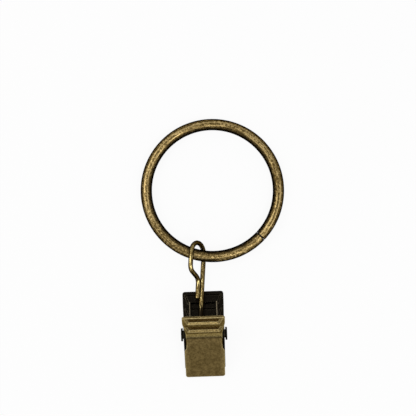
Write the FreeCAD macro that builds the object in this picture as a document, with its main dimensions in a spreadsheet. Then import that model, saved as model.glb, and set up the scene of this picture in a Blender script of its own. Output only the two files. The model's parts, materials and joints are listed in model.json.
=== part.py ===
# Curtain ring with a spring clip: a split wire ring, a formed wire hook round it,
# and a clip of two pressed jaws on a headed pin with a double torsion spring.
#
# Row frame, millimetres: origin at the ring's centre, +Z up. X runs along the clip's
# pin and the jaws point along -Y. The part lies flat, as it comes to rest on a table.
import FreeCAD, Part
import math
import os

import Sketcher

V = FreeCAD.Vector
X_AXIS = V(1, 0, 0)
Y_AXIS = V(0, 1, 0)
Z_AXIS = V(0, 0, 1)

# Two places nearer than this are one place.
NEAR = 1e-4

# Driving sizes. Lengths in mm, angles in degrees.
SIZES = [
    # ring
    ("RingInside", 32.0, "clear hole of the ring"),
    ("RingWire", 3.0, "thickness of the ring's wire"),
    ("SplitGap", 0.12, "opening where the wire's ends meet"),
    ("SplitAt", -45.4, "place of the split round the ring"),
    ("HookAt", -99.6, "place of the hook round the ring"),
    ("SeatGap", 0.08, "ring wire to the hook it rests on"),
    # hook
    ("HookWire", 1.25, "thickness of the hook's wire"),
    ("LoopSlack", 0.8, "ring's wire to the loop's far leg, in the loop's plane"),
    ("LoopLean", 34.0, "lean of the loop's plane from upright"),
    ("RingReach", 20.4, "pin to the ring's wire"),
    ("LoopReach", 4.0, "ring's wire to the loop's outer end"),
    ("HookAside", 1.2, "eye beside the clip's middle"),
    ("HookYaw", 5.0, "lean of the shank to the other side"),
    ("JoinReach", 7.7, "start of the loop to where the legs meet"),
    ("TailReach", 3.8, "from there to the wire's free end"),
    ("JoinAngle", 68.0, "slope of the leg that comes back"),
    ("JoinBend", 2.0, "bend radius of that leg"),
    ("LegGap", 0.03, "free end to shank"),
    ("TailSide", 145.0, "side of the shank on which the free end lies"),
    ("EyeNeck", 1.0, "bend radius where the shank meets the eye"),
    ("EyeWrap", 328.0, "how far the eye wraps round the pin"),
    # pin
    ("PinWidth", 2.2, "pin diameter"),
    ("HeadWidth", 3.4, "pin head diameter"),
    ("HeadThick", 0.45, "pin head thickness"),
    ("HeadSlack", 0.22, "pin head to the outer ear"),
    ("HeadRound", 0.15, "rounding of the head's rim"),
    ("RunGap", 0.05, "running clearance round the pin, on the radius"),
    # pressed jaws
    ("Sheet", 0.6, "sheet thickness"),
    ("EarSlack", 0.2, "spring to the front ears, at the least"),
    ("EarGap", 0.06, "front ear to back ear, each side"),
    ("EarRadius", 1.9, "round end of the ears"),
    ("FlangeReach", 1.9, "jaws' tips to the end of the side flanges"),
    ("GripWidth", 10.9, "grip plates across"),
    ("JawWidth", 10.4, "jaw plates across"),
    ("PlateGap", 0.3, "hook's eye to the plates"),
    ("GripAngle", 32.2, "slope of the grips"),
    ("GripLength", 9.2, "length of the grips on their inner face"),
    ("JawBendReach", 1.0, "pin to the bend of the jaws"),
    ("JawReach", 12.1, "pin to the jaws' tips"),
    ("TipHeight", 0.4, "jaw plate above the middle at its tip"),
    ("LipGap", 0.03, "half of the gap between the closed lips"),
    ("NeckGrip", 2.3, "pin to where the neck widens to the grip"),
    ("NeckJaw", 2.6, "pin to where the neck widens to the jaw"),
    ("GripFlare", 4.0, "length of the widening to the grip"),
    ("NeckFlare", 0.9, "length of the widening to the jaw"),
    ("CornerRound", 0.65, "rounded corners of the plates"),
    ("FoldRound", 0.4, "rounded folds of the ears"),
    # pressed troughs of the grips
    ("TroughDepth", 0.5, "depth of the troughs"),
    ("TroughLong", 2.6, "trough along the grip"),
    ("TroughInset", 0.45, "trough's wide edge to the plate's side"),
    ("TroughNarrow", 0.95, "how much further in its narrow edge ends"),
    ("TroughSlope", 40.0, "slope of the trough's walls"),
    ("FirstTrough", 2.1, "grip's end to the middle of the first trough"),
    ("TroughPitch", 3.7, "first trough to the second"),
    # spring
    ("SpringWire", 0.5, "thickness of the spring's wire"),
    ("SpringSlack", 0.1, "pin to the coils, on the radius"),
    ("SideGap", 0.12, "hook's eye to the first turn beside it"),
    ("SpringTurns", 2, "whole turns of each coil"),
    ("TurnGap", 0.02, "gap between turns"),
    ("ArmGap", 0.04, "spring to the plates it lies against"),
    ("ArmReach", 8.5, "pin to the ends of the outer arms"),
    ("BarReach", 6.9, "pin to the bar between the coils"),
    ("BarBend", 0.7, "bend radius at the ends of that bar"),
]

# Sizes that follow from others and a clearance.
FITS = {
    "EyeRadius": "({PinWidth} + {HookWire}) / 2 + {RunGap}",
    "LoopWidth": "({RingWire} + {HookWire} / 2 + {SeatGap}) / cos({LoopLean}) + {HookWire} / 2 + {LoopSlack}",
    "PlateHeight": "{EyeRadius} + {HookWire} / 2 + {PlateGap}",
    "SpringInside": "{PinWidth} + 2 * {SpringSlack}",
    "SpringStart": "{HookAside} + {HookWire} / 2 + {EyeRadius} * sin({HookYaw}) + {SideGap}",
    "SpringLong": "{SpringWire} + ({SpringTurns} + 0.5) * ({SpringWire} + {TurnGap})",
    "FrontEars": "2 * ({SpringStart} + {SpringLong} + {EarSlack} + {Sheet})",
    "FlangeEnd": "{JawReach} - {FlangeReach}",
}

doc = FreeCAD.newDocument("CurtainRing")
sheet = doc.addObject("Spreadsheet::Sheet", "Sizes")
for row, (alias, value, note) in enumerate(SIZES, start=1):
    sheet.set("A%d" % row, alias)
    sheet.set("B%d" % row, str(value))
    sheet.set("C%d" % row, note)
    sheet.setAlias("B%d" % row, alias)
doc.recompute()


def bind(text):
    """Writes out the fits in an expression and puts the sheet's name before each alias."""
    while any("{" + name + "}" in text for name in FITS):
        for name, fit in FITS.items():
            text = text.replace("{" + name + "}", "(" + fit + ")")
    return text.replace("{", "Sizes.").replace("}", "")


def number(text):
    """Value of such an expression."""
    value = sheet.evalExpression(bind(text))
    return float(getattr(value, "Value", value))


def size(name):
    return number("{" + name + "}")


# Side view of a jaw plate, y towards the grip and z away from the middle.
GRIP_BEND = ("(({PlateHeight} * cos({GripAngle}) - {SpringInside} / 2 - {SpringWire} - {ArmGap})"
             " / sin({GripAngle}))")
JAW_SLOPE = "atan(({PlateHeight} - {TipHeight}) / ({JawReach} - {Sheet} - {JawBendReach}))"
OUTER = "({PlateHeight} + {Sheet})"
OUTER_GRIP_BEND = "(" + GRIP_BEND + " - {Sheet} * tan({GripAngle} / 2))"
OUTER_JAW_BEND = "(-{JawBendReach} - {Sheet} * tan(" + JAW_SLOPE + " / 2))"
GRIP_END = ("(" + GRIP_BEND + " + {GripLength} * cos({GripAngle}))",
            "({PlateHeight} + {GripLength} * sin({GripAngle}))")
GRIP_END_OUTER = ("(" + GRIP_END[0] + " - {Sheet} * sin({GripAngle}))",
                  "(" + GRIP_END[1] + " + {Sheet} * cos({GripAngle}))")
TIP_OUTER_HEIGHT = "(" + OUTER + " - ({JawReach} + " + OUTER_JAW_BEND + ") * tan(" + JAW_SLOPE + "))"
BACK_EARS = "({FrontEars} + 2 * {EarGap} + 2 * {Sheet})"

# Angle of the ring's wire that its split leaves out.
SPLIT = "({SplitGap} / ({RingInside} + {RingWire}) * 360 / pi)"


def new_body(label):
    body = doc.addObject("PartDesign::Body", label)
    body.Label = label
    return body


def new_sketch(body, plane, name, lift="0", shift="0", turn="0"):
    """Sketch on an origin plane, lifted along its normal, shifted along its second axis and turned."""
    sketch = body.newObject("Sketcher::SketchObject", name)
    base = [f for f in body.Origin.OriginFeatures if f.Role == plane][0]
    sketch.AttachmentSupport = [(base, "")]
    sketch.MapMode = "FlatFace"
    sketch.AttachmentOffset = FreeCAD.Placement(
        V(0, number(shift), number(lift)), FreeCAD.Rotation(X_AXIS, number(turn)))
    sketch.setExpression(".AttachmentOffset.Base.z", bind(lift))
    sketch.setExpression(".AttachmentOffset.Base.y", bind(shift))
    if turn != "0":
        sketch.setExpression(".AttachmentOffset.Rotation.Angle", bind(turn))
    return sketch


def polygon(sketch, points):
    """Closed outline through points given as pairs of expressions."""
    spots = [V(number(a), number(b), 0) for a, b in points]
    count = len(points)
    for i in range(count):
        sketch.addGeometry(Part.LineSegment(spots[i], spots[(i + 1) % count]), False)
    for i in range(count):
        sketch.addConstraint(Sketcher.Constraint("Coincident", i, 2, (i + 1) % count, 1))
    for i, (across, up) in enumerate(points):
        for kind, text, value in (("DistanceX", across, spots[i].x), ("DistanceY", up, spots[i].y)):
            if text == "0":
                sketch.addConstraint(Sketcher.Constraint("PointOnObject", i, 1, -1))
                continue
            k = sketch.addConstraint(Sketcher.Constraint(kind, -1, 1, i, 1, value))
            sketch.setExpression("Constraints[%d]" % k, bind(text))


def circle(sketch, radius):
    """Circle on the sketch's origin."""
    sketch.addGeometry(Part.Circle(V(0, 0, 0), Z_AXIS, number(radius)), False)
    sketch.addConstraint(Sketcher.Constraint("Coincident", 0, 3, -1, 1))
    k = sketch.addConstraint(Sketcher.Constraint("Radius", 0, number(radius)))
    sketch.setExpression("Constraints[%d]" % k, bind(radius))


def extrude(kind, body, sketch, length, name, both_ways, taper, reverse):
    """Pad or pocket of a sketch, with its length and taper bound to the sheet."""
    feature = body.newObject("PartDesign::" + kind, name)
    feature.Profile = sketch
    feature.Length = number(length)
    feature.setExpression("Length", bind(length))
    if both_ways:
        feature.SideType = "Symmetric"
    feature.Reversed = reverse
    if taper:
        feature.TaperAngle = number(taper)
        feature.setExpression("TaperAngle", bind(taper))
    doc.recompute()
    return feature


def pad(body, sketch, length, name, both_ways=False, taper=None, reverse=False):
    return extrude("Pad", body, sketch, length, name, both_ways, taper, reverse)


def pocket(body, sketch, length, name, both_ways=False, taper=None):
    before = body.Shape.Volume
    feature = extrude("Pocket", body, sketch, length, name, both_ways, taper, False)
    if not feature.Shape.Volume < before:
        raise ValueError(name + " removed nothing")
    return feature


def round_edges(body, radius, name, wanted):
    """Rounds the edges of the body's solid that the given test picks."""
    base = body.Tip
    names = ["Edge%d" % (i + 1) for i, e in enumerate(base.Shape.Edges) if wanted(e)]
    feature = body.newObject("PartDesign::Fillet", name)
    feature.Base = (base, names)
    feature.Radius = number(radius)
    feature.setExpression("Radius", bind(radius))
    doc.recompute()
    return feature


def make_jaw(label, ears):
    """Half of the clip: grip, neck with ears, and jaw with a lip, from one sheet."""
    body = new_body(label)
    side = new_sketch(body, "YZ_Plane", label + "_side")
    lip_inside = "(-{JawReach} + {Sheet})"
    polygon(side, [
        GRIP_END, GRIP_END_OUTER,
        (OUTER_GRIP_BEND, OUTER), (OUTER_JAW_BEND, OUTER),
        ("-{JawReach}", TIP_OUTER_HEIGHT), ("-{JawReach}", "{LipGap}"),
        (lip_inside, "{LipGap}"), (lip_inside, "{TipHeight}"),
        ("-{JawBendReach}", "{PlateHeight}"), (GRIP_BEND, "{PlateHeight}"),
    ])
    widest = "max(" + ears + "; {GripWidth}; {JawWidth})"
    pad(body, side, widest, label + "_plate", both_ways=True)
    for sign, word in ((1, "right"), (-1, "left")):
        trim_side(body, label, word, sign, ears, widest)
    add_ears(body, label, ears)
    round_folds(body, label, ears)
    press_troughs(body, label)
    round_edges(body, "{CornerRound}", label + "_corners", corner_test())
    return body


def trim_side(body, label, word, sign, ears, widest):
    """Cuts one side of the plate to its outline seen from above."""
    def x(text):
        return ("" if sign > 0 else "-") + "(" + text + ")"
    outline = new_sketch(body, "XY_Plane", label + "_outline_" + word)
    far = x(widest + " / 2 + 1")
    polygon(outline, [
        (x("{GripWidth} / 2"), GRIP_END[0] + " + 1"),
        (x("{GripWidth} / 2"), "{NeckGrip} + {GripFlare}"),
        (x(ears + " / 2"), "{NeckGrip}"),
        (x(ears + " / 2"), "-{NeckJaw}"),
        (x("{JawWidth} / 2"), "-{NeckJaw} - {NeckFlare}"),
        (x("{JawWidth} / 2"), "-{JawReach} - 1"),
        (far, "-{JawReach} - 1"),
        (far, GRIP_END[0] + " + 1"),
    ])
    pocket(body, outline, "2 * (" + GRIP_END_OUTER[1] + " + 1)", label + "_trim_" + word, both_ways=True)


def add_ears(body, label, ears):
    """Ears round the pin, running out as side flanges towards the tip."""
    end_height = "({PlateHeight} - ({FlangeEnd} - {JawBendReach}) * tan(" + JAW_SLOPE + "))"
    angle = ("(acos({EarRadius} / sqrt({FlangeEnd} ^ 2 + " + end_height + " ^ 2))"
             " - atan(" + end_height + " / {FlangeEnd}))")
    middle = "({PlateHeight} + {Sheet} / 2)"
    for sign, word in ((1, "right"), (-1, "left")):
        inner = "(" + ears + " / 2 - {Sheet})" if sign > 0 else "(-" + ears + " / 2)"
        flange = new_sketch(body, "YZ_Plane", label + "_flange_" + word, lift=inner)
        polygon(flange, [
            ("{EarRadius}", "0"),
            (GRIP_BEND, middle),
            ("-{JawBendReach}", middle),
            ("-{FlangeEnd}", end_height + " + {Sheet} / 2"),
            ("-{FlangeEnd}", end_height),
            ("-{EarRadius} * cos(" + angle + ")", "-{EarRadius} * sin(" + angle + ")"),
        ])
        pad(body, flange, "{Sheet}", label + "_flange_pad_" + word)
        disc = new_sketch(body, "YZ_Plane", label + "_ear_" + word, lift=inner)
        circle(disc, "{EarRadius}")
        pad(body, disc, "{Sheet}", label + "_ear_pad_" + word)
    hole = new_sketch(body, "YZ_Plane", label + "_hole")
    circle(hole, "({PinWidth} / 2 + {RunGap})")
    pocket(body, hole, ears + " + 2", label + "_hole_cut", both_ways=True)


def round_folds(body, label, ears):
    """Rounds the outer edges where the ears fold down from the neck."""
    def wanted(edge):
        box = edge.BoundBox
        at_side = abs(abs(box.Center.x) - number(ears + " / 2")) < NEAR and box.XLength < NEAR
        on_top = abs(box.ZMax - number(OUTER)) < NEAR and box.ZLength < NEAR
        return at_side and on_top
    round_edges(body, "{FoldRound}", label + "_fold", wanted)


def press_troughs(body, label):
    """Two troughs across the grip: sunk outside, standing proud inside."""
    half = "{GripWidth} / 2 - {TroughInset}"
    for k, word in enumerate(("first", "second")):
        from_end = "({FirstTrough} + %d * {TroughPitch})" % k
        for kind, lift, shift, length in (
                ("rib", "{PlateHeight}", GRIP_BEND, "{GripLength}"),
                ("trough", OUTER, OUTER_GRIP_BEND, "({GripLength} + {Sheet} * tan({GripAngle} / 2))")):
            far = "%s - %s + {TroughLong} / 2" % (length, from_end)
            near = "%s - %s - {TroughLong} / 2" % (length, from_end)
            sketch = new_sketch(body, "XY_Plane", "_".join((label, kind, word)),
                                lift=lift, shift=shift, turn="{GripAngle}")
            polygon(sketch, [
                ("-(%s)" % half, far), (half, far),
                ("%s - {TroughNarrow}" % half, near), ("-(%s - {TroughNarrow})" % half, near),
            ])
            if kind == "rib":
                pad(body, sketch, "{TroughDepth}", sketch.Name + "_proud",
                    taper="-{TroughSlope}", reverse=True)
            else:
                pocket(body, sketch, "{TroughDepth}", sketch.Name + "_sunk", taper="-{TroughSlope}")


def corner_test():
    """Picks the edges through the sheet at the grip's and the tip's corners."""
    def wanted(edge):
        box = edge.BoundBox
        ends = [v.Point for v in edge.Vertexes]
        if len(ends) != 2 or box.XLength > NEAR:
            return False
        if abs(abs(box.Center.x) - number("{GripWidth} / 2")) < NEAR:
            through = abs(edge.Length - number("{Sheet}")) < NEAR
            return through and max(p.y for p in ends) > number(GRIP_END[0]) - NEAR
        at_side = abs(abs(box.Center.x) - number("{JawWidth} / 2")) < NEAR
        return at_side and all(abs(p.y + number("{JawReach}")) < NEAR for p in ends)
    return wanted


def make_pin():
    """Headed pin, revolved about its own line."""
    body = new_body("hinge_pin")
    profile = new_sketch(body, "XY_Plane", "pin_profile")
    inner = "(" + BACK_EARS + " / 2 + {HeadSlack})"
    outer = "(" + inner + " + {HeadThick})"
    polygon(profile, [
        ("-" + outer, "0"), ("-" + outer, "{HeadWidth} / 2"), ("-" + inner, "{HeadWidth} / 2"),
        ("-" + inner, "{PinWidth} / 2"), (inner, "{PinWidth} / 2"), (inner, "{HeadWidth} / 2"),
        (outer, "{HeadWidth} / 2"), (outer, "0"),
    ])
    turned = body.newObject("PartDesign::Revolution", "pin_turned")
    turned.Profile = profile
    turned.ReferenceAxis = (profile, ["H_Axis"])
    turned.Angle = 360
    doc.recompute()

    def wanted(edge):
        box = edge.BoundBox
        at_end = abs(abs(box.Center.x) - number(outer)) < NEAR and box.XLength < NEAR
        return at_end and abs(box.ZMax - number("{HeadWidth} / 2")) < NEAR
    round_edges(body, "{HeadRound}", "pin_rims", wanted)
    return body


def make_ring():
    """Round wire bent to a ring, its ends meeting at a narrow split."""
    ring = doc.addObject("Part::Torus", "ring")
    ring.Label = "ring"
    ring.setExpression("Radius1", bind("({RingInside} + {RingWire}) / 2"))
    ring.setExpression("Radius2", bind("{RingWire} / 2"))
    ring.setExpression("Angle3", bind("360 - " + SPLIT))
    return ring


class WirePath:
    """Centre line of a bent wire, laid piece by piece, each tangent to the last."""

    def __init__(self, start, heading):
        self.at = start
        self.heading = heading
        self.start = start
        self.first = heading
        self.edges = []

    def straight(self, length):
        end = self.at + self.heading * length
        self.edges.append(Part.LineSegment(self.at, end).toShape())
        self.at = end

    def bend(self, radius, towards, degrees):
        """Arc round a centre that lies on the given side, square to the heading."""
        def spot(turned):
            a = math.radians(turned)
            return self.at + self.heading * (radius * math.sin(a)) + towards * (radius * (1 - math.cos(a)))
        end = spot(degrees)
        self.edges.append(Part.Arc(self.at, spot(degrees / 2), end).toShape())
        a = math.radians(degrees)
        self.heading = self.heading * math.cos(a) + towards * math.sin(a)
        self.at = end

    def round_bar(self, thickness):
        rim = Part.Wire(Part.makeCircle(thickness / 2, self.start, self.first))
        return Part.Wire(self.edges).makePipeShell([rim], True, False)


def loop_start():
    """Pin to where the shank turns into the loop."""
    return size("RingReach") + size("LoopReach") - (size("HookWire") + size("LoopWidth")) / 2


def hook_shape():
    """Hook: eye round the pin, shank, loop round the ring and the leg back to the shank.
    Here Y runs from the pin along the shank and Z lies across it, on the loop's side."""
    wire = size("HookWire")
    eye = size("EyeRadius")
    neck = size("EyeNeck")
    shank_start = math.sqrt((eye + neck) ** 2 - neck ** 2)
    neck_turn = math.degrees(math.atan2(neck, shank_start))
    wrap = math.radians(size("EyeWrap"))
    path = WirePath(V(0, eye * math.cos(wrap), eye * math.sin(wrap)), V(0, math.sin(wrap), -math.cos(wrap)))
    path.bend(eye, V(0, -math.cos(wrap), -math.sin(wrap)), size("EyeWrap") - neck_turn)
    a = math.radians(neck_turn)
    path.bend(neck, V(0, math.cos(a), math.sin(a)), 90 - neck_turn)
    loop = size("LoopWidth") / 2
    path.straight(loop_start() - shank_start)
    lean = math.radians(size("LoopLean"))
    across = V(-math.sin(lean), 0, math.cos(lean))
    path.bend(loop, across, 180)
    side = math.radians(size("TailSide"))
    tail = V(math.cos(side), 0, math.sin(side)) * (wire + size("LegGap"))
    back = tail - across * (2 * loop)
    inward = back * (1 / back.Length)
    turn = size("JoinAngle")
    slope = math.radians(turn)
    bend = size("JoinBend")
    slant = (back.Length - 2 * bend * (1 - math.cos(slope))) / math.sin(slope)
    taken = 2 * bend * math.sin(slope) + slant * math.cos(slope)
    path.straight(size("JoinReach") - taken)
    path.bend(bend, inward, turn)
    path.straight(slant)
    path.bend(bend, inward * -math.cos(slope) - V(0, math.sin(slope), 0), turn)
    path.straight(size("TailReach"))
    return path.round_bar(wire)


def arm_slope():
    """Slope of a spring arm that leaves the coil and lies on the rib nearest the pin."""
    coil = (size("SpringInside") + size("SpringWire")) / 2
    grip = math.radians(size("GripAngle"))
    bend_at = number(GRIP_BEND)
    foot = bend_at * math.cos(grip) + size("PlateHeight") * math.sin(grip)
    rib_middle = size("GripLength") - size("FirstTrough") - size("TroughPitch")
    wall = size("TroughDepth") * math.tan(math.radians(size("TroughSlope")))
    along = foot + rib_middle - size("TroughLong") / 2 + wall
    plate = size("PlateHeight") * math.cos(grip) - bend_at * math.sin(grip)
    out = plate - size("TroughDepth") - size("SpringWire") / 2 - size("ArmGap")
    lean = math.atan2(out, along) - math.asin(coil / math.hypot(along, out))
    return grip + lean


def spring_shape():
    """Double torsion spring: two coils on the pin, a bar between them, and an outer arm each."""
    wire = size("SpringWire")
    coil = (size("SpringInside") + wire) / 2
    pitch = wire + size("TurnGap")
    slope = arm_slope()
    advance = pitch * (size("SpringTurns") + (math.pi - 2 * slope) / (2 * math.pi))
    inner = size("SpringStart") + wire / 2
    up = V(0, math.cos(slope), math.sin(slope))
    out = V(0, -math.sin(slope), math.cos(slope))
    bend = size("BarBend")
    path = WirePath(up * size("BarReach") + out * coil, X_AXIS)
    path.straight(inner - bend)
    path.bend(bend, up * -1, 90)
    path.straight(size("BarReach") - bend)
    turns = Part.makeHelix(pitch, advance, coil)
    onto_pin = FreeCAD.Rotation(Y_AXIS, Z_AXIS, X_AXIS, "ZXY")
    from_bar = FreeCAD.Rotation(X_AXIS, math.degrees(slope) + 90)
    turns.Placement = FreeCAD.Placement(V(inner, 0, 0), from_bar * onto_pin)
    path.edges.extend(turns.Edges)
    path.at = V(inner + advance, out.y * coil, -out.z * coil)
    path.heading = V(0, up.y, -up.z)
    path.straight(size("ArmReach"))
    half = path.round_bar(wire)
    return half.fuse(half.mirror(V(0, 0, 0), X_AXIS)).removeSplitter().Solids[0]


def clip_tilt():
    """Tilt of the clip, and height of its pin, when it lies on the back grip's end and the back tip."""
    grip_y, grip_z = number(GRIP_END_OUTER[0]), number(GRIP_END_OUTER[1])
    tip_y, tip_z = -size("JawReach"), number(TIP_OUTER_HEIGHT)
    tilt = math.atan2(grip_z - tip_z, grip_y - tip_y)
    return tilt, grip_z * math.cos(tilt) - grip_y * math.sin(tilt)


def shank_slope(pin_height):
    """Downward slope of the shank that brings the lowest point of the loop to the floor."""
    wire = size("HookWire")
    loop = size("LoopWidth") / 2
    start = loop_start()
    lean = math.radians(size("LoopLean"))

    def lowest(slope):
        rise = math.cos(lean) * math.cos(slope)
        return pin_height - start * math.sin(slope) + loop * (rise - math.hypot(math.sin(slope), rise))

    low, high = 0.0, math.radians(60)
    for _ in range(60):
        middle = (low + high) / 2
        if lowest(middle) > wire / 2:
            low = middle
        else:
            high = middle
    return low


def shaped(label, shape):
    feature = doc.addObject("Part::Feature", label)
    feature.Label = label
    feature.Shape = shape
    return feature


def assemble():
    """Builds the pieces and lays them as they rest, with the ring's centre at the origin."""
    ring = make_ring()
    front = make_jaw("front_jaw", "{FrontEars}")
    back = make_jaw("back_jaw", BACK_EARS)
    pin = make_pin()
    hook = shaped("hook", hook_shape())
    spring = shaped("torsion_spring", spring_shape())

    tilt, pin_height = clip_tilt()
    slope = shank_slope(pin_height)
    on_pin = FreeCAD.Rotation(Z_AXIS, -size("HookYaw")) * FreeCAD.Rotation(X_AXIS, -math.degrees(slope))
    off = (size("RingWire") + size("HookWire")) / 2 + size("SeatGap")
    to_ring = on_pin.multVec(V(0, size("RingReach"), off)) - X_AXIS * size("HookAside")

    round_radius = (size("RingInside") + size("RingWire")) / 2
    lift = math.asin((pin_height + to_ring.z - size("RingWire") / 2) / (2 * round_radius))
    at = math.radians(size("HookAt"))
    crossing = V(math.cos(at) * math.cos(lift), math.sin(at) * math.cos(lift), math.sin(lift)) * round_radius
    pin_spot = crossing - to_ring

    tangent = V(-math.sin(at), math.cos(at), 0)
    ring.Placement = FreeCAD.Placement(
        V(0, 0, 0), FreeCAD.Rotation(tangent, -math.degrees(lift))
        * FreeCAD.Rotation(Z_AXIS, size("SplitAt") + number(SPLIT) / 2))
    clip = FreeCAD.Placement(pin_spot, FreeCAD.Rotation(X_AXIS, math.degrees(tilt)))
    front.Placement = clip
    pin.Placement = clip
    spring.Placement = clip
    back.Placement = clip * FreeCAD.Placement(V(0, 0, 0), FreeCAD.Rotation(Y_AXIS, 180))
    hook.Placement = FreeCAD.Placement(pin_spot - X_AXIS * size("HookAside"), on_pin)
    return [ring, hook, front, back, pin, spring]


pieces = assemble()
doc.recompute()
for item in doc.Objects:
    if "Invalid" in item.State or "Error" in item.State:
        raise ValueError(item.Name + " failed")
os.makedirs("parts", exist_ok=True)
for piece in pieces:
    shape = piece.Shape
    if shape.isNull() or not shape.isValid() or len(shape.Solids) != 1:
        raise ValueError(piece.Label + " is not one sound solid")
    shape.exportStep("parts/%s.step" % piece.Label)
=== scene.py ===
import json
import math

import bpy
from mathutils import Matrix, Vector


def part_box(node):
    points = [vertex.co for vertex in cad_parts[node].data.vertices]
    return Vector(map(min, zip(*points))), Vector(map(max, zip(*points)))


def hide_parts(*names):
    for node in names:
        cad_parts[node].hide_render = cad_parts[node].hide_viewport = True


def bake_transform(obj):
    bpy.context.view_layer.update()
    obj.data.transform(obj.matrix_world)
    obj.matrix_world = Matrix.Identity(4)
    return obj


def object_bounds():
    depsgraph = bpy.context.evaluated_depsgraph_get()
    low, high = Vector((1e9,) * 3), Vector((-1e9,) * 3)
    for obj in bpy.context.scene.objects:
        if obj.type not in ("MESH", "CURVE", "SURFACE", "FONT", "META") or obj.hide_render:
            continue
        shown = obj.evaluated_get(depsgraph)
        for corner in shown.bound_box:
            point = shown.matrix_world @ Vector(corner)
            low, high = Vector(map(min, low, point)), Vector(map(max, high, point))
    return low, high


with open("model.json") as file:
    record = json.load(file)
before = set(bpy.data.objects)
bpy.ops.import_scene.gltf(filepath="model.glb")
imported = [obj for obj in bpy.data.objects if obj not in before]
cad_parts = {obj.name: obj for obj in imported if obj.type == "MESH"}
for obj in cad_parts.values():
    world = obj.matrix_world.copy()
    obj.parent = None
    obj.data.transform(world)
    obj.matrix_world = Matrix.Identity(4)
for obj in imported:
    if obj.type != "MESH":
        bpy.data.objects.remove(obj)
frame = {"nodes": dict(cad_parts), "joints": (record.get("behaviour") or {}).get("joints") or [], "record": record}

CAD_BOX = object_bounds()

# Lengths are in metres. A pair of values is where a smooth step begins and ends. In a group of
# three, the first is how far noise shifts what is measured, so that the step looks ragged.

# The photograph: pixels across, and where the ring and its size lie in it
PIXELS = 416
RING_PIXEL = (212.4, 190.4)
RING_PIXELS_WIDE = 143.5
ROLL = math.radians(2.0)
CAMERA_HEIGHT = 0.26
SENSOR_MM = 36.0
NEAREST_SEEN = 0.01
FARTHEST_SEEN = 10.0

# Tones of the plating, as they look on a screen
# Painted shade: the black of the wires' flanks, of the ring's split, and of the sheet's hollows and fold
PAINTED_SHADE_BLACK = (0.10, 0.08, 0.05)
# The darkest bronzes and the light tones of the ring and hook are painted shade and painted highlight, by how far
# the wire faces up
BRONZE_SHADED = (0.26, 0.205, 0.105)
BRONZE = (0.40, 0.33, 0.185)
BRONZE_HIGHLIGHT = (0.69, 0.60, 0.41)
HOOK_BRONZE = (0.46, 0.39, 0.23)
HOOK_HIGHLIGHT = (0.80, 0.73, 0.50)
PLATE_DARK = (0.32, 0.265, 0.15)
PLATE = (0.43, 0.365, 0.225)
# The next tone is wear at the sheet's sides and in specks in its troughs, and painted highlight on the troughs'
# slopes and on the strip beside the fold
PLATE_WEAR_AND_HIGHLIGHT = (0.70, 0.62, 0.41)
# The next tone is wear and painted highlight on the sheet's edges
PLATE_EDGE = (0.80, 0.73, 0.53)
TROUGH_BROWN = (0.25, 0.185, 0.085)
INSIDE_BLACK = (0.07, 0.06, 0.045)
# The next tone is painted highlight inside the jaws: glints, and wear and painted highlight on their edges
INSIDE_EDGE = (0.55, 0.51, 0.42)
# The pin's black is also painted shade on the flanks of the pin and spring; the next tone is painted highlight on
# the pin's top
PIN_BLACK = (0.045, 0.04, 0.033)
PIN_LIT_TOP = (0.09, 0.078, 0.06)
SPRING_GREY = (0.34, 0.31, 0.25)

# What the metals share: their tint at grazing angles, and the noise that is spread from 0 to 1
EDGE_TINT = (0.12, 0.1, 0.07, 1.0)
NOISE_SPREAD = (0.34, 0.66)
RING_ROUGHNESS = 0.36
HOOK_ROUGHNESS = 0.3
PIN_ROUGHNESS = 0.45
SPRING_ROUGHNESS = 0.3
# Unevenness of the surface: strength and height
RING_BUMP = (0.3, 0.00004)
HOOK_BUMP = (0.2, 0.00003)
PLATE_BUMP = (0.35, 0.00004)

# Wire given painted light by how far it faces up: how far streaks and speckles shift it, and where it turns from
# painted shade to bronze and to painted highlight
STREAKS_SHIFT = 0.9
SPECKLES_SHIFT = 0.75
CROWN_BRONZE = (0.55, 1.1)
CROWN_HIGHLIGHT = (1.05, 1.35)

# The ring's grain along its wire and across it, and the painted light of its top and of its outermost side, beside
# painted black shade on its flanks
RING_STREAKS = (2.2, 2600.0)
RING_STREAKS_DETAIL = 3.0
RING_SPECKLES = (34.0, 1900.0)
OUTER_BIAS = 0.12
RING_TOP = (0.2, 0.5, 1.0)
RING_RIM = (0.04, 0.91, 1.0)
RING_RIM_SHARE = 0.75
# The ring's split: its angle round the ring, and the painted shade to each side of it
SPLIT_AT = math.radians(-45.4)
SEAM = (0.00016, 0.00032)
# Painted highlights: two lines along the ring, by how far the surface faces outward there: their middles,
# how they fade, bend and drift, where the streaks break them, and how much they cover
HIGHLIGHT_LANES = (-0.25, 0.33)
LANE_FADE = (0.02, 0.17)
LANE_BENDS = (1.3, 0.0)
LANE_DRIFT = 0.8
LANE_BREAKS = (0.38, 0.62)
LANE_SHARE = 0.8

# The hook's grain, drawn out along its shank, the painted light of its top, and where painted shade
# darkens it inside the clip, by the distance from the pin
HOOK_STRETCH = (1.0, 0.2, 1.0)
HOOK_STREAKS = 2400.0
HOOK_STREAKS_DETAIL = 3.0
HOOK_SPECKLES = 3600.0
HOOK_BIAS = 0.06
HOOK_TOP = (0.2, 0.3, 0.85)
CLIP_SHADE_REACH = (0.0015, 0.0062, 0.0092)

# How far the grips slope from their jaws, and the troughs' ends from the grips
GRIP_ANGLE = math.radians(32.2)
TROUGH_SLOPE = math.radians(40)
# Faces whose directions agree by more than this lie the same way
SAME_WAY = 0.995
# Depths below the grip's outer face: what still counts as that face, the troughs' dark floors,
# their slopes with painted highlight, and the end of the strip with painted highlight beside the fold
SAME_DEPTH = 0.00005
FLOOR_DEPTH = (0.00015, 0.0002, 0.0004)
SLOPE_DEPTH = (0.00001, 0.0001)
STRIP_DEPTH = (0.00005, 0.00015)
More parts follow.
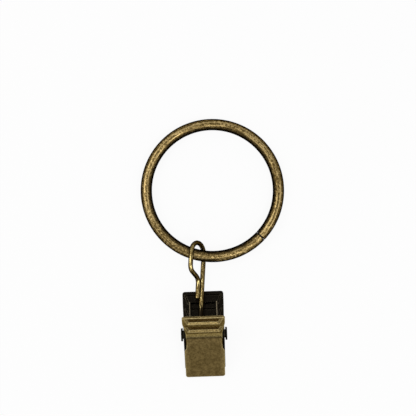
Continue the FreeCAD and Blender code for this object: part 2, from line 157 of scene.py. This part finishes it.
# How well a surface faces as the grip does, towards the grip's end, and to the side
FACES_AS_GRIP = (0.965, 0.99)
FACES_GRIP_END = (0.8, 0.95)
FACES_ASIDE = (0.35, 0.55)
# Distances up the grip from its lowest corner: the fold, the end of the strip with painted highlight
# beside it, and the end of the first trough; then how far from the fold its painted shade reaches
FOLD = 0.0006
FOLD_STRIP = (0.002232, 0.0024)
FIRST_TROUGH = (0.00418, 0.00462)
FOLD_SHADE = (0.00018, 0.00048)
# How much painted highlight shows, as a slope and a start: beyond the first trough, and by the grain
BEYOND_FIRST = (0.55, 0.45)
SLOPE_HIGHLIGHT_GRAIN = (0.45, 0.1)
STRIP_HIGHLIGHT_GRAIN = (0.7, 0.2)

# The sheet's grain, clouds and the specks in its troughs
PLATE_GRAIN = 2600.0
PLATE_CLOUDS = 1000.0
PLATE_CLOUDS_DETAIL = 3.0
PLATE_MOTTLE = (0.3, 0.3, 0.7)
SPECKS = 5600.0
SPECKS_DETAIL = 2.0
SPECKS_SPREAD = (0.52, 0.68)
# Its sharp edges: how wide they show wear and a painted highlight, the samples for that, and how sharp they are
EDGE_WIDTH = 0.00038
EDGE_SAMPLES = 6
EDGE_TURN = (0.015, 0.12)
# Its hollows, darkened with painted shade: how far off their walls stand, the samples for that, and how open they
# are
HOLLOW_REACH = 0.0012
HOLLOW_SAMPLES = 8
HOLLOW_OPEN = (0.3, 0.3, 0.85)
# Its sides, by the distance from its middle, its outside, by how it faces, and the painted glints inside it
SIDE_WEAR = (0.0008, 0.0037, 0.0058)
FACES_OUTSIDE = (-0.1, 0.1)
OUTSIDE_ROUGHNESS = (0.14, 0.26)
INSIDE_GLINTS = (0.9, 1.5)
# How much each layer on it covers
SPECKS_SHARE = 0.45
SIDES_SHARE = 0.22
HOLLOWS_SHARE = 0.7
CREASE_SHARE = 0.5
EDGE_SHARE = 0.8
INSIDE_EDGE_SHARE = 0.16

# The pin's and the spring's grain, and the painted highlight on their tops
DULL_GRAIN = 3000.0
DULL_TOP = (0.4, 0.55, 1.0)

# The floor: width, colour, roughness, and how white it is seen
FLOOR_WIDE = 4.0
FLOOR_COLOUR = (0.8, 0.8, 0.8, 1.0)
FLOOR_ROUGHNESS = 0.9
FLOOR_WHITE = 0.92
# The sky: its colour, and its strength as light on what isn't shiny
SKY_COLOUR = (1.0, 1.0, 1.0, 1.0)
SKY = 0.6
# The lamps: name, place, size and power
LAMPS = (
    ("key", (-0.21, 0.07, 0.36), 0.16, 0.42),
    ("fill", (0.14, -0.14, 0.40), 0.14, 0.45))

# Sockets of a Mix node that blends colours
MIX_SHARE, MIX_FIRST, MIX_SECOND, MIX_RESULT = 0, 6, 7, 2


def linear(tone):
    """Screen tone to the linear colour that a shader takes."""
    channels = (v / 12.92 if v <= 0.04045 else ((v + 0.055) / 1.055) ** 2.4 for v in tone)
    return tuple(channels) + (1.0,)


class Nodes:
    """The node tree of a material or the world, built link by link."""

    def __init__(self, owner):
        self.owner = owner
        owner.use_nodes = True
        self.tree = owner.node_tree

    @property
    def shader(self):
        return self.tree.nodes["Principled BSDF"]

    def add(self, kind, **settings):
        node = self.tree.nodes.new(kind)
        for key, value in settings.items():
            setattr(node, key, value)
        return node

    def put(self, item, socket):
        """Links another node's output to a socket, or sets a plain value on it."""
        if isinstance(item, bpy.types.NodeSocket):
            self.tree.links.new(item, socket)
        else:
            socket.default_value = item

    def fed(self, kind, operation, inputs):
        """Adds a node for an operation and fills its inputs in order."""
        node = self.add(kind, operation=operation)
        for item, socket in zip(inputs, node.inputs):
            self.put(item, socket)
        return node

    def value(self, operation, *inputs):
        return self.fed("ShaderNodeMath", operation, inputs).outputs[0]

    def vector(self, operation, *inputs):
        return self.fed("ShaderNodeVectorMath", operation, inputs).outputs

    def plus(self, a, b):
        return self.value("ADD", a, b)

    def minus(self, a, b):
        return self.value("SUBTRACT", a, b)

    def times(self, a, b):
        return self.value("MULTIPLY", a, b)

    def most(self, a, b):
        return self.value("MAXIMUM", a, b)

    def size(self, a):
        return self.value("ABSOLUTE", a)

    def rest(self, share):
        """What a share leaves of 1."""
        return self.minus(1.0, share)

    def line(self, a, slope, start):
        return self.plus(self.times(a, slope), start)

    def dot(self, a, b):
        return self.vector("DOT_PRODUCT", a, b)["Value"]

    def step(self, source, low, high):
        """0 below low, 1 above high, smooth between."""
        node = self.add("ShaderNodeMapRange", interpolation_type="SMOOTHSTEP")
        self.put(source, node.inputs["Value"])
        self.put(low, node.inputs["From Min"])
        self.put(high, node.inputs["From Max"])
        return node.outputs["Result"]

    def jitter(self, source, noise, amount):
        """Shifts a value by the noise, up and down."""
        return self.plus(source, self.times(self.minus(noise, 0.5), amount))

    def ragged(self, source, noise, shift, low, high):
        """A step whose place the noise shifts."""
        return self.step(self.jitter(source, noise, shift), low, high)

    def noise(self, place, scale, detail=4.0, roughness=0.6):
        node = self.add("ShaderNodeTexNoise")
        self.put(place, node.inputs["Vector"])
        self.put(scale, node.inputs["Scale"])
        self.put(detail, node.inputs["Detail"])
        self.put(roughness, node.inputs["Roughness"])
        return node.outputs["Fac"]

    def grain(self, place, scale):
        """Rougher noise, spread over the whole range from 0 to 1."""
        return self.step(self.noise(place, scale, roughness=0.75), *NOISE_SPREAD)

    def mix(self, share, first, second):
        """Blends two colours, each a screen tone or another node's output."""
        node = self.add("ShaderNodeMix", data_type="RGBA")
        self.put(share, node.inputs[MIX_SHARE])
        for item, socket in ((first, MIX_FIRST), (second, MIX_SECOND)):
            self.put(linear(item) if isinstance(item, tuple) else item, node.inputs[socket])
        return node.outputs[MIX_RESULT]

    def layers(self, colour, *layers):
        """Lays colours over each other, each with the share that it covers."""
        for share, tone in layers:
            colour = self.mix(share, colour, tone)
        return colour

    def place(self, output="Object"):
        return self.add("ShaderNodeTexCoord").outputs[output]

    def facing(self, axis):
        """How far the surface faces along an axis of the part."""
        return self.dot(self.place("Normal"), axis)

    def flat(self):
        """1 where the surface faces straight up or down, 0 on its flanks."""
        return self.size(self.facing((0, 0, 1)))

    def metal(self, colour, roughness):
        self.put(colour, self.shader.inputs["Base Color"])
        self.put(1.0, self.shader.inputs["Metallic"])
        self.put(roughness, self.shader.inputs["Roughness"])
        self.put(EDGE_TINT, self.shader.inputs["Specular Tint"])

    def rough(self, noise, strength, distance, normal=None):
        """Fine unevenness of the surface."""
        bump = self.add("ShaderNodeBump")
        self.put(strength, bump.inputs["Strength"])
        self.put(distance, bump.inputs["Distance"])
        self.put(noise, bump.inputs["Height"])
        if normal is not None:
            self.put(normal, bump.inputs["Normal"])
        self.put(bump.outputs["Normal"], self.shader.inputs["Normal"])


def ring_place(nodes):
    """Angle round the ring, distance from its middle, and height."""
    split = nodes.add("ShaderNodeSeparateXYZ")
    nodes.put(nodes.place(), split.inputs[0])
    x, y, z = (split.outputs[k] for k in range(3))
    squares = nodes.plus(nodes.times(x, x), nodes.times(y, y))
    return nodes.value("ARCTAN2", y, x), nodes.value("SQRT", squares), z


def round_the_ring(nodes, along, across):
    """Coordinates that run along the ring's wire, so that the grain follows the bend."""
    angle, radius, z = ring_place(nodes)
    joined = nodes.add("ShaderNodeCombineXYZ")
    for item, scale, socket in ((angle, along, "X"), (radius, across, "Y"), (z, across, "Z")):
        nodes.put(nodes.times(item, scale), joined.inputs[socket])
    return joined.outputs[0]


def ring_side(nodes):
    """How far the surface faces away from the ring's middle, from -1 to 1."""
    level = nodes.vector("MULTIPLY", nodes.place(), (1.0, 1.0, 0.0))[0]
    away = nodes.vector("NORMALIZE", level)[0]
    return nodes.dot(nodes.place("Normal"), away)


def seam(nodes):
    """1 beside the ring's split, where painted shade goes, 0 elsewhere."""
    angle, radius, _ = ring_place(nodes)
    away = nodes.times(nodes.size(nodes.minus(angle, SPLIT_AT)), radius)
    return nodes.rest(nodes.step(away, *SEAM))


def highlight_lanes(nodes, side, streaks):
    """Two painted highlights: lines that wander along the ring's wire."""
    bends = nodes.noise(round_the_ring(nodes, *LANE_BENDS), 1.0)
    wandering = nodes.jitter(side, bends, -LANE_DRIFT)
    lines = []
    for middle in HIGHLIGHT_LANES:
        off = nodes.size(nodes.minus(wandering, middle))
        lines.append(nodes.rest(nodes.step(off, *LANE_FADE)))
    return nodes.times(nodes.most(*lines), nodes.step(streaks, *LANE_BREAKS))


def crown_lit_metal(nodes, crown, streaks, speckles, tones, lit_share):
    """Metal from painted shade to painted highlight by how far its crown faces up, shifted by streaks and
    speckles, on painted black shade where the lit share is 0.
    """
    dark, bronze, light = tones
    crown_light = nodes.jitter(nodes.jitter(crown, streaks, STREAKS_SHIFT), speckles, SPECKLES_SHIFT)
    metal = nodes.mix(nodes.step(crown_light, *CROWN_BRONZE), dark, bronze)
    metal = nodes.mix(nodes.step(crown_light, *CROWN_HIGHLIGHT), metal, light)
    return nodes.mix(lit_share, PAINTED_SHADE_BLACK, metal)


def ring_material():
    """Wire with painted light: bronze to painted highlight on its top, bottom and outermost side, painted black
    shade on its flanks, with streaks and painted highlight lines.
    """
    nodes = Nodes(bpy.data.materials.new("ring_metal"))
    streaks = nodes.noise(round_the_ring(nodes, *RING_STREAKS), 1.0, detail=RING_STREAKS_DETAIL)
    speckles = nodes.grain(round_the_ring(nodes, *RING_SPECKLES), 1.0)
    side = ring_side(nodes)
    crown = nodes.plus(nodes.flat(), nodes.times(side, OUTER_BIAS))
    # Painted light: the top and outermost side keep bronze, the flanks get painted black shade
    top = nodes.ragged(crown, speckles, *RING_TOP)
    rim = nodes.ragged(side, speckles, *RING_RIM)
    lit_share = nodes.most(top, nodes.times(rim, RING_RIM_SHARE))
    colour = nodes.layers(
        crown_lit_metal(nodes, crown, streaks, speckles, (BRONZE_SHADED, BRONZE, BRONZE_HIGHLIGHT), lit_share),
        # Painted highlights along the ring's wire
        (nodes.times(highlight_lanes(nodes, side, streaks), LANE_SHARE), BRONZE_HIGHLIGHT),
        # Painted shade in the ring's split
        (seam(nodes), PAINTED_SHADE_BLACK))
    nodes.metal(colour, RING_ROUGHNESS)
    nodes.rough(speckles, *RING_BUMP)
    return nodes.owner


def hook_material(pin):
    """Bronze wire with painted light on its top, and painted shade on its flanks and where it lies inside the
    clip.
    """
    nodes = Nodes(bpy.data.materials.new("hook_metal"))
    stretched = nodes.add("ShaderNodeMapping")
    nodes.put(nodes.place(), stretched.inputs["Vector"])
    nodes.put(HOOK_STRETCH, stretched.inputs["Scale"])
    streaks = nodes.noise(stretched.outputs[0], HOOK_STREAKS, detail=HOOK_STREAKS_DETAIL)
    speckles = nodes.grain(stretched.outputs[0], HOOK_SPECKLES)
    crown = nodes.plus(nodes.flat(), HOOK_BIAS)
    from_pin = nodes.vector("DISTANCE", nodes.place(), pin)["Value"]
    # Painted shade: the shank goes dark near the pin, inside the clip
    free = nodes.ragged(from_pin, speckles, *CLIP_SHADE_REACH)
    # Painted light on the hook's top, painted black shade on its flanks
    lit_share = nodes.times(nodes.ragged(crown, speckles, *HOOK_TOP), free)
    tones = (BRONZE_SHADED, HOOK_BRONZE, HOOK_HIGHLIGHT)
    nodes.metal(crown_lit_metal(nodes, crown, streaks, speckles, tones, lit_share), HOOK_ROUGHNESS)
    nodes.rough(speckles, *HOOK_BUMP)
    return nodes.owner


def tilted(jaw_normal, angle):
    """A jaw's outward direction turned about the pin, the way its grip is, on either jaw."""
    return Matrix.Rotation(angle if jaw_normal.z > 0 else -angle, 3, "X") @ jaw_normal


def grip_face(piece, jaw_normal):
    """Directions out of the grip and up along it, and its outer face's height and lowest corner."""
    grip_normal = tilted(jaw_normal, GRIP_ANGLE)
    along = grip_normal.cross(Vector((1, 0, 0))) * (1 if jaw_normal.z > 0 else -1)
    faces = [face for face in piece.data.polygons if face.normal.dot(grip_normal) > SAME_WAY]
    height = max(face.center.dot(grip_normal) for face in faces)
    outer = [face for face in faces if face.center.dot(grip_normal) > height - SAME_DEPTH]
    corner = min(piece.data.vertices[k].co.dot(along) for face in outer for k in face.vertices)
    return grip_normal, along, height, corner


def grip_masks(nodes, piece, jaw_normal, fine):
    """Masks for the grip: the troughs' dark floors, which face as the grip does and lie below its
    outer face, the slopes that face the grip's end, which get a painted highlight, the strip of its
    face beside the fold, which gets a painted highlight, and the painted shade in the fold."""
    grip_normal, along, height, corner = grip_face(piece, jaw_normal)
    depth = nodes.minus(height, nodes.dot(nodes.place(), grip_normal))
    beyond = nodes.minus(nodes.dot(nodes.place(), along), corner)
    level = nodes.step(nodes.facing(grip_normal), *FACES_AS_GRIP)
    floor = nodes.times(nodes.ragged(depth, fine, *FLOOR_DEPTH), level)

    end_way = nodes.facing(tilted(jaw_normal, GRIP_ANGLE - TROUGH_SLOPE))
    aside = nodes.step(nodes.size(nodes.facing((1, 0, 0))), *FACES_ASIDE)
    sloping = nodes.most(aside, nodes.step(end_way, *FACES_GRIP_END))
    lit = nodes.times(nodes.step(depth, *SLOPE_DEPTH), sloping)
    share = nodes.line(nodes.step(beyond, *FIRST_TROUGH), *BEYOND_FIRST)
    # Painted highlight on the slopes that face the grip's end
    slope = nodes.times(nodes.times(lit, share), nodes.line(fine, *SLOPE_HIGHLIGHT_GRAIN))

    # Painted highlight on the strip of the grip's face beside the fold
    near = nodes.rest(nodes.step(beyond, *FOLD_STRIP))
    shallow = nodes.rest(nodes.step(depth, *STRIP_DEPTH))
    strip_highlight_grain = nodes.line(fine, *STRIP_HIGHLIGHT_GRAIN)
    strip = nodes.times(nodes.times(nodes.times(near, shallow), level), strip_highlight_grain)
    # Painted shade in the fold
    crease = nodes.rest(nodes.step(nodes.size(nodes.minus(beyond, FOLD)), *FOLD_SHADE))
    return floor, slope, strip, crease


def edges(nodes, rounded):
    """1 on the sharp edges of the sheet, where its rounded direction differs, 0 away from them."""
    direction = nodes.add("ShaderNodeNewGeometry").outputs["Normal"]
    return nodes.step(nodes.rest(nodes.dot(rounded, direction)), *EDGE_TURN)


def hollows(nodes, fine):
    """1 in the sheet's hollows, where painted shade darkens them, 0 in the open."""
    around = nodes.add("ShaderNodeAmbientOcclusion", samples=HOLLOW_SAMPLES, only_local=True)
    nodes.put(HOLLOW_REACH, around.inputs["Distance"])
    return nodes.rest(nodes.ragged(around.outputs["AO"], fine, *HOLLOW_OPEN))


def sides(nodes, middle, fine):
    """0 along the middle of the sheet, 1 at its side edges, where hands rub it."""
    aside = nodes.size(nodes.minus(nodes.dot(nodes.place(), (1, 0, 0)), middle))
    return nodes.ragged(aside, fine, *SIDE_WEAR)


def plate_material(name, piece, jaw_normal, middle):
    """Pressed sheet: mottled bronze outside with brown troughs, edges lighter by wear and painted highlight,
    painted highlights on the troughs' slopes and beside the fold, and painted shade in the hollows and the fold;
    black inside with painted glints.
    """
    nodes = Nodes(bpy.data.materials.new(name))
    fine = nodes.grain(nodes.place(), PLATE_GRAIN)
    clouds = nodes.noise(nodes.place(), PLATE_CLOUDS, detail=PLATE_CLOUDS_DETAIL)
    specks = nodes.step(nodes.noise(nodes.place(), SPECKS, detail=SPECKS_DETAIL), *SPECKS_SPREAD)
    bevel = nodes.add("ShaderNodeBevel", samples=EDGE_SAMPLES)
    nodes.put(EDGE_WIDTH, bevel.inputs["Radius"])
    rounded = bevel.outputs["Normal"]
    rim = edges(nodes, rounded)
    floor, slope, strip, crease = grip_masks(nodes, piece, jaw_normal, fine)

    metal = nodes.layers(
        nodes.mix(nodes.ragged(clouds, fine, *PLATE_MOTTLE), PLATE_DARK, PLATE),
        (nodes.times(sides(nodes, middle, fine), SIDES_SHARE), PLATE_WEAR_AND_HIGHLIGHT),
        (floor, nodes.mix(nodes.times(specks, SPECKS_SHARE), TROUGH_BROWN, PLATE_WEAR_AND_HIGHLIGHT)),
        # Painted highlight on the troughs' slopes
        (slope, PLATE_WEAR_AND_HIGHLIGHT),
        # Painted shade in the hollows
        (nodes.times(hollows(nodes, fine), HOLLOWS_SHARE), PAINTED_SHADE_BLACK),
        # Painted highlight on the strip beside the fold
        (strip, PLATE_WEAR_AND_HIGHLIGHT),
        # Painted shade in the fold
        (nodes.times(crease, CREASE_SHARE), PAINTED_SHADE_BLACK),
        # Wear and painted highlight on the sharp edges
        (nodes.times(rim, EDGE_SHARE), PLATE_EDGE))
    # Painted glints inside, and wear and painted highlight on its edges
    lit = nodes.most(nodes.times(rim, INSIDE_EDGE_SHARE), nodes.step(fine, *INSIDE_GLINTS))
    inside = nodes.mix(lit, INSIDE_BLACK, INSIDE_EDGE)
    outside = nodes.step(nodes.facing(jaw_normal), *FACES_OUTSIDE)
    nodes.metal(nodes.mix(outside, inside, metal), nodes.line(outside, *OUTSIDE_ROUGHNESS))
    nodes.rough(fine, *PLATE_BUMP, rounded)
    return nodes.owner


def dull_metal(name, tone, roughness):
    """Dark metal, with painted highlight on top and painted shade on its flanks."""
    nodes = Nodes(bpy.data.materials.new(name))
    # Painted highlight on top, painted shade on the flanks
    top = nodes.ragged(nodes.flat(), nodes.noise(nodes.place(), DULL_GRAIN), *DULL_TOP)
    nodes.metal(nodes.mix(top, PIN_BLACK, tone), roughness)
    return nodes.owner


def paint(piece, material):
    piece.data.materials.clear()
    piece.data.materials.append(material)


def named(rows, name):
    return next(row for row in rows if row["name"] == name)


def clip_axes():
    """Pin, and the direction out of the clip's front."""
    pin = named(frame["joints"], "jaw_open")["pos_m"]
    lips = named(frame["record"]["mounts"], "jaw_lips")
    front = Vector(lips["axis"]).cross(Vector((1, 0, 0))).normalized()
    return Vector(pin), front


def bending_spring():
    """Copy of the spring's mesh, shown in place of the spring part, which is hidden."""
    spring = bpy.data.objects.new("spring_wound", frame["nodes"]["torsion_spring"].data.copy())
    bpy.context.scene.collection.objects.link(spring)
    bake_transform(spring)
    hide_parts("torsion_spring")
    return spring


def dress():
    """Gives each piece its material and slot."""
    pin, front = clip_axes()
    pieces = frame["nodes"]
    paint(pieces["ring"], ring_material())
    paint(pieces["hook"], hook_material(pin))
    for jaw, name, way in (("front_jaw", "front_plate", front), ("back_jaw", "back_plate", -front)):
        paint(pieces[jaw], plate_material(name, pieces[jaw], way, pin.x))
    pin_metal = dull_metal("pin_metal", PIN_LIT_TOP, PIN_ROUGHNESS)
    paint(pieces["hinge_pin"], pin_metal)
    spring_metal = dull_metal("spring_metal", SPRING_GREY, SPRING_ROUGHNESS)
    paint(bending_spring(), spring_metal)


def seen(nodes):
    """1 for rays that show the background to the camera, mirrored or through glass, 0 for light."""
    rays = nodes.add("ShaderNodeLightPath")
    mirrored = nodes.most(rays.outputs["Is Glossy Ray"], rays.outputs["Is Transmission Ray"])
    return nodes.most(rays.outputs["Is Camera Ray"], mirrored)


def lay_floor():
    """Pale floor that is seen as white, with the part's shadow on it."""
    bpy.ops.mesh.primitive_plane_add(size=FLOOR_WIDE, location=(0, 0, CAD_BOX[0].z))
    floor = bpy.context.object
    floor.name = "floor"
    nodes = Nodes(bpy.data.materials.new("pale_floor"))
    nodes.put(FLOOR_COLOUR, nodes.shader.inputs["Base Color"])
    nodes.put(FLOOR_ROUGHNESS, nodes.shader.inputs["Roughness"])
    blend = nodes.add("ShaderNodeMixShader")
    nodes.put(nodes.times(seen(nodes), FLOOR_WHITE), blend.inputs[0])
    nodes.put(nodes.shader.outputs[0], blend.inputs[1])
    nodes.put(nodes.add("ShaderNodeEmission").outputs[0], blend.inputs[2])
    nodes.put(blend.outputs[0], nodes.tree.nodes["Material Output"].inputs["Surface"])
    floor.data.materials.append(nodes.owner)


def sky():
    """Even light from all round, seen as white."""
    nodes = Nodes(bpy.data.worlds.new("studio"))
    background = nodes.tree.nodes["Background"]
    nodes.put(SKY_COLOUR, background.inputs["Color"])
    nodes.put(nodes.most(seen(nodes), SKY), background.inputs["Strength"])
    bpy.context.scene.world = nodes.owner


def lamps():
    """Two soft lamps high above."""
    for name, place, size, power in LAMPS:
        lamp = bpy.data.lights.new(name, "AREA")
        lamp.size = size
        lamp.energy = power
        holder = bpy.data.objects.new(name, lamp)
        holder.location = place
        holder.rotation_mode = "QUATERNION"
        holder.rotation_quaternion = (-Vector(place)).to_track_quat("-Z", "Y")
        bpy.context.scene.collection.objects.link(holder)


def camera():
    """Straight above, at the photograph's scale and place."""
    ring_low, ring_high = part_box("ring")
    metres_per_pixel = (ring_high.x - ring_low.x) / RING_PIXELS_WIDE
    ring_height = (ring_low.z + ring_high.z) / 2
    middle = PIXELS / 2
    aside = (middle - RING_PIXEL[0]) * metres_per_pixel
    along = (RING_PIXEL[1] - middle) * metres_per_pixel
    right = Vector((math.cos(ROLL), -math.sin(ROLL), 0))
    up = Vector((math.sin(ROLL), math.cos(ROLL), 0))
    data = bpy.data.cameras.new("camera")
    data.sensor_width = SENSOR_MM
    data.lens = SENSOR_MM * CAMERA_HEIGHT / (PIXELS * metres_per_pixel)
    data.clip_start = NEAREST_SEEN
    data.clip_end = FARTHEST_SEEN
    holder = bpy.data.objects.new("camera", data)
    holder.matrix_world = Matrix((right, up, (0, 0, 1))).transposed().to_4x4()
    holder.location = right * aside + up * along + Vector((0, 0, ring_height + CAMERA_HEIGHT))
    bpy.context.scene.collection.objects.link(holder)
    bpy.context.scene.camera = holder


dress()
lay_floor()
sky()
lamps()
camera()
bpy.context.scene.view_settings.view_transform = "Standard"
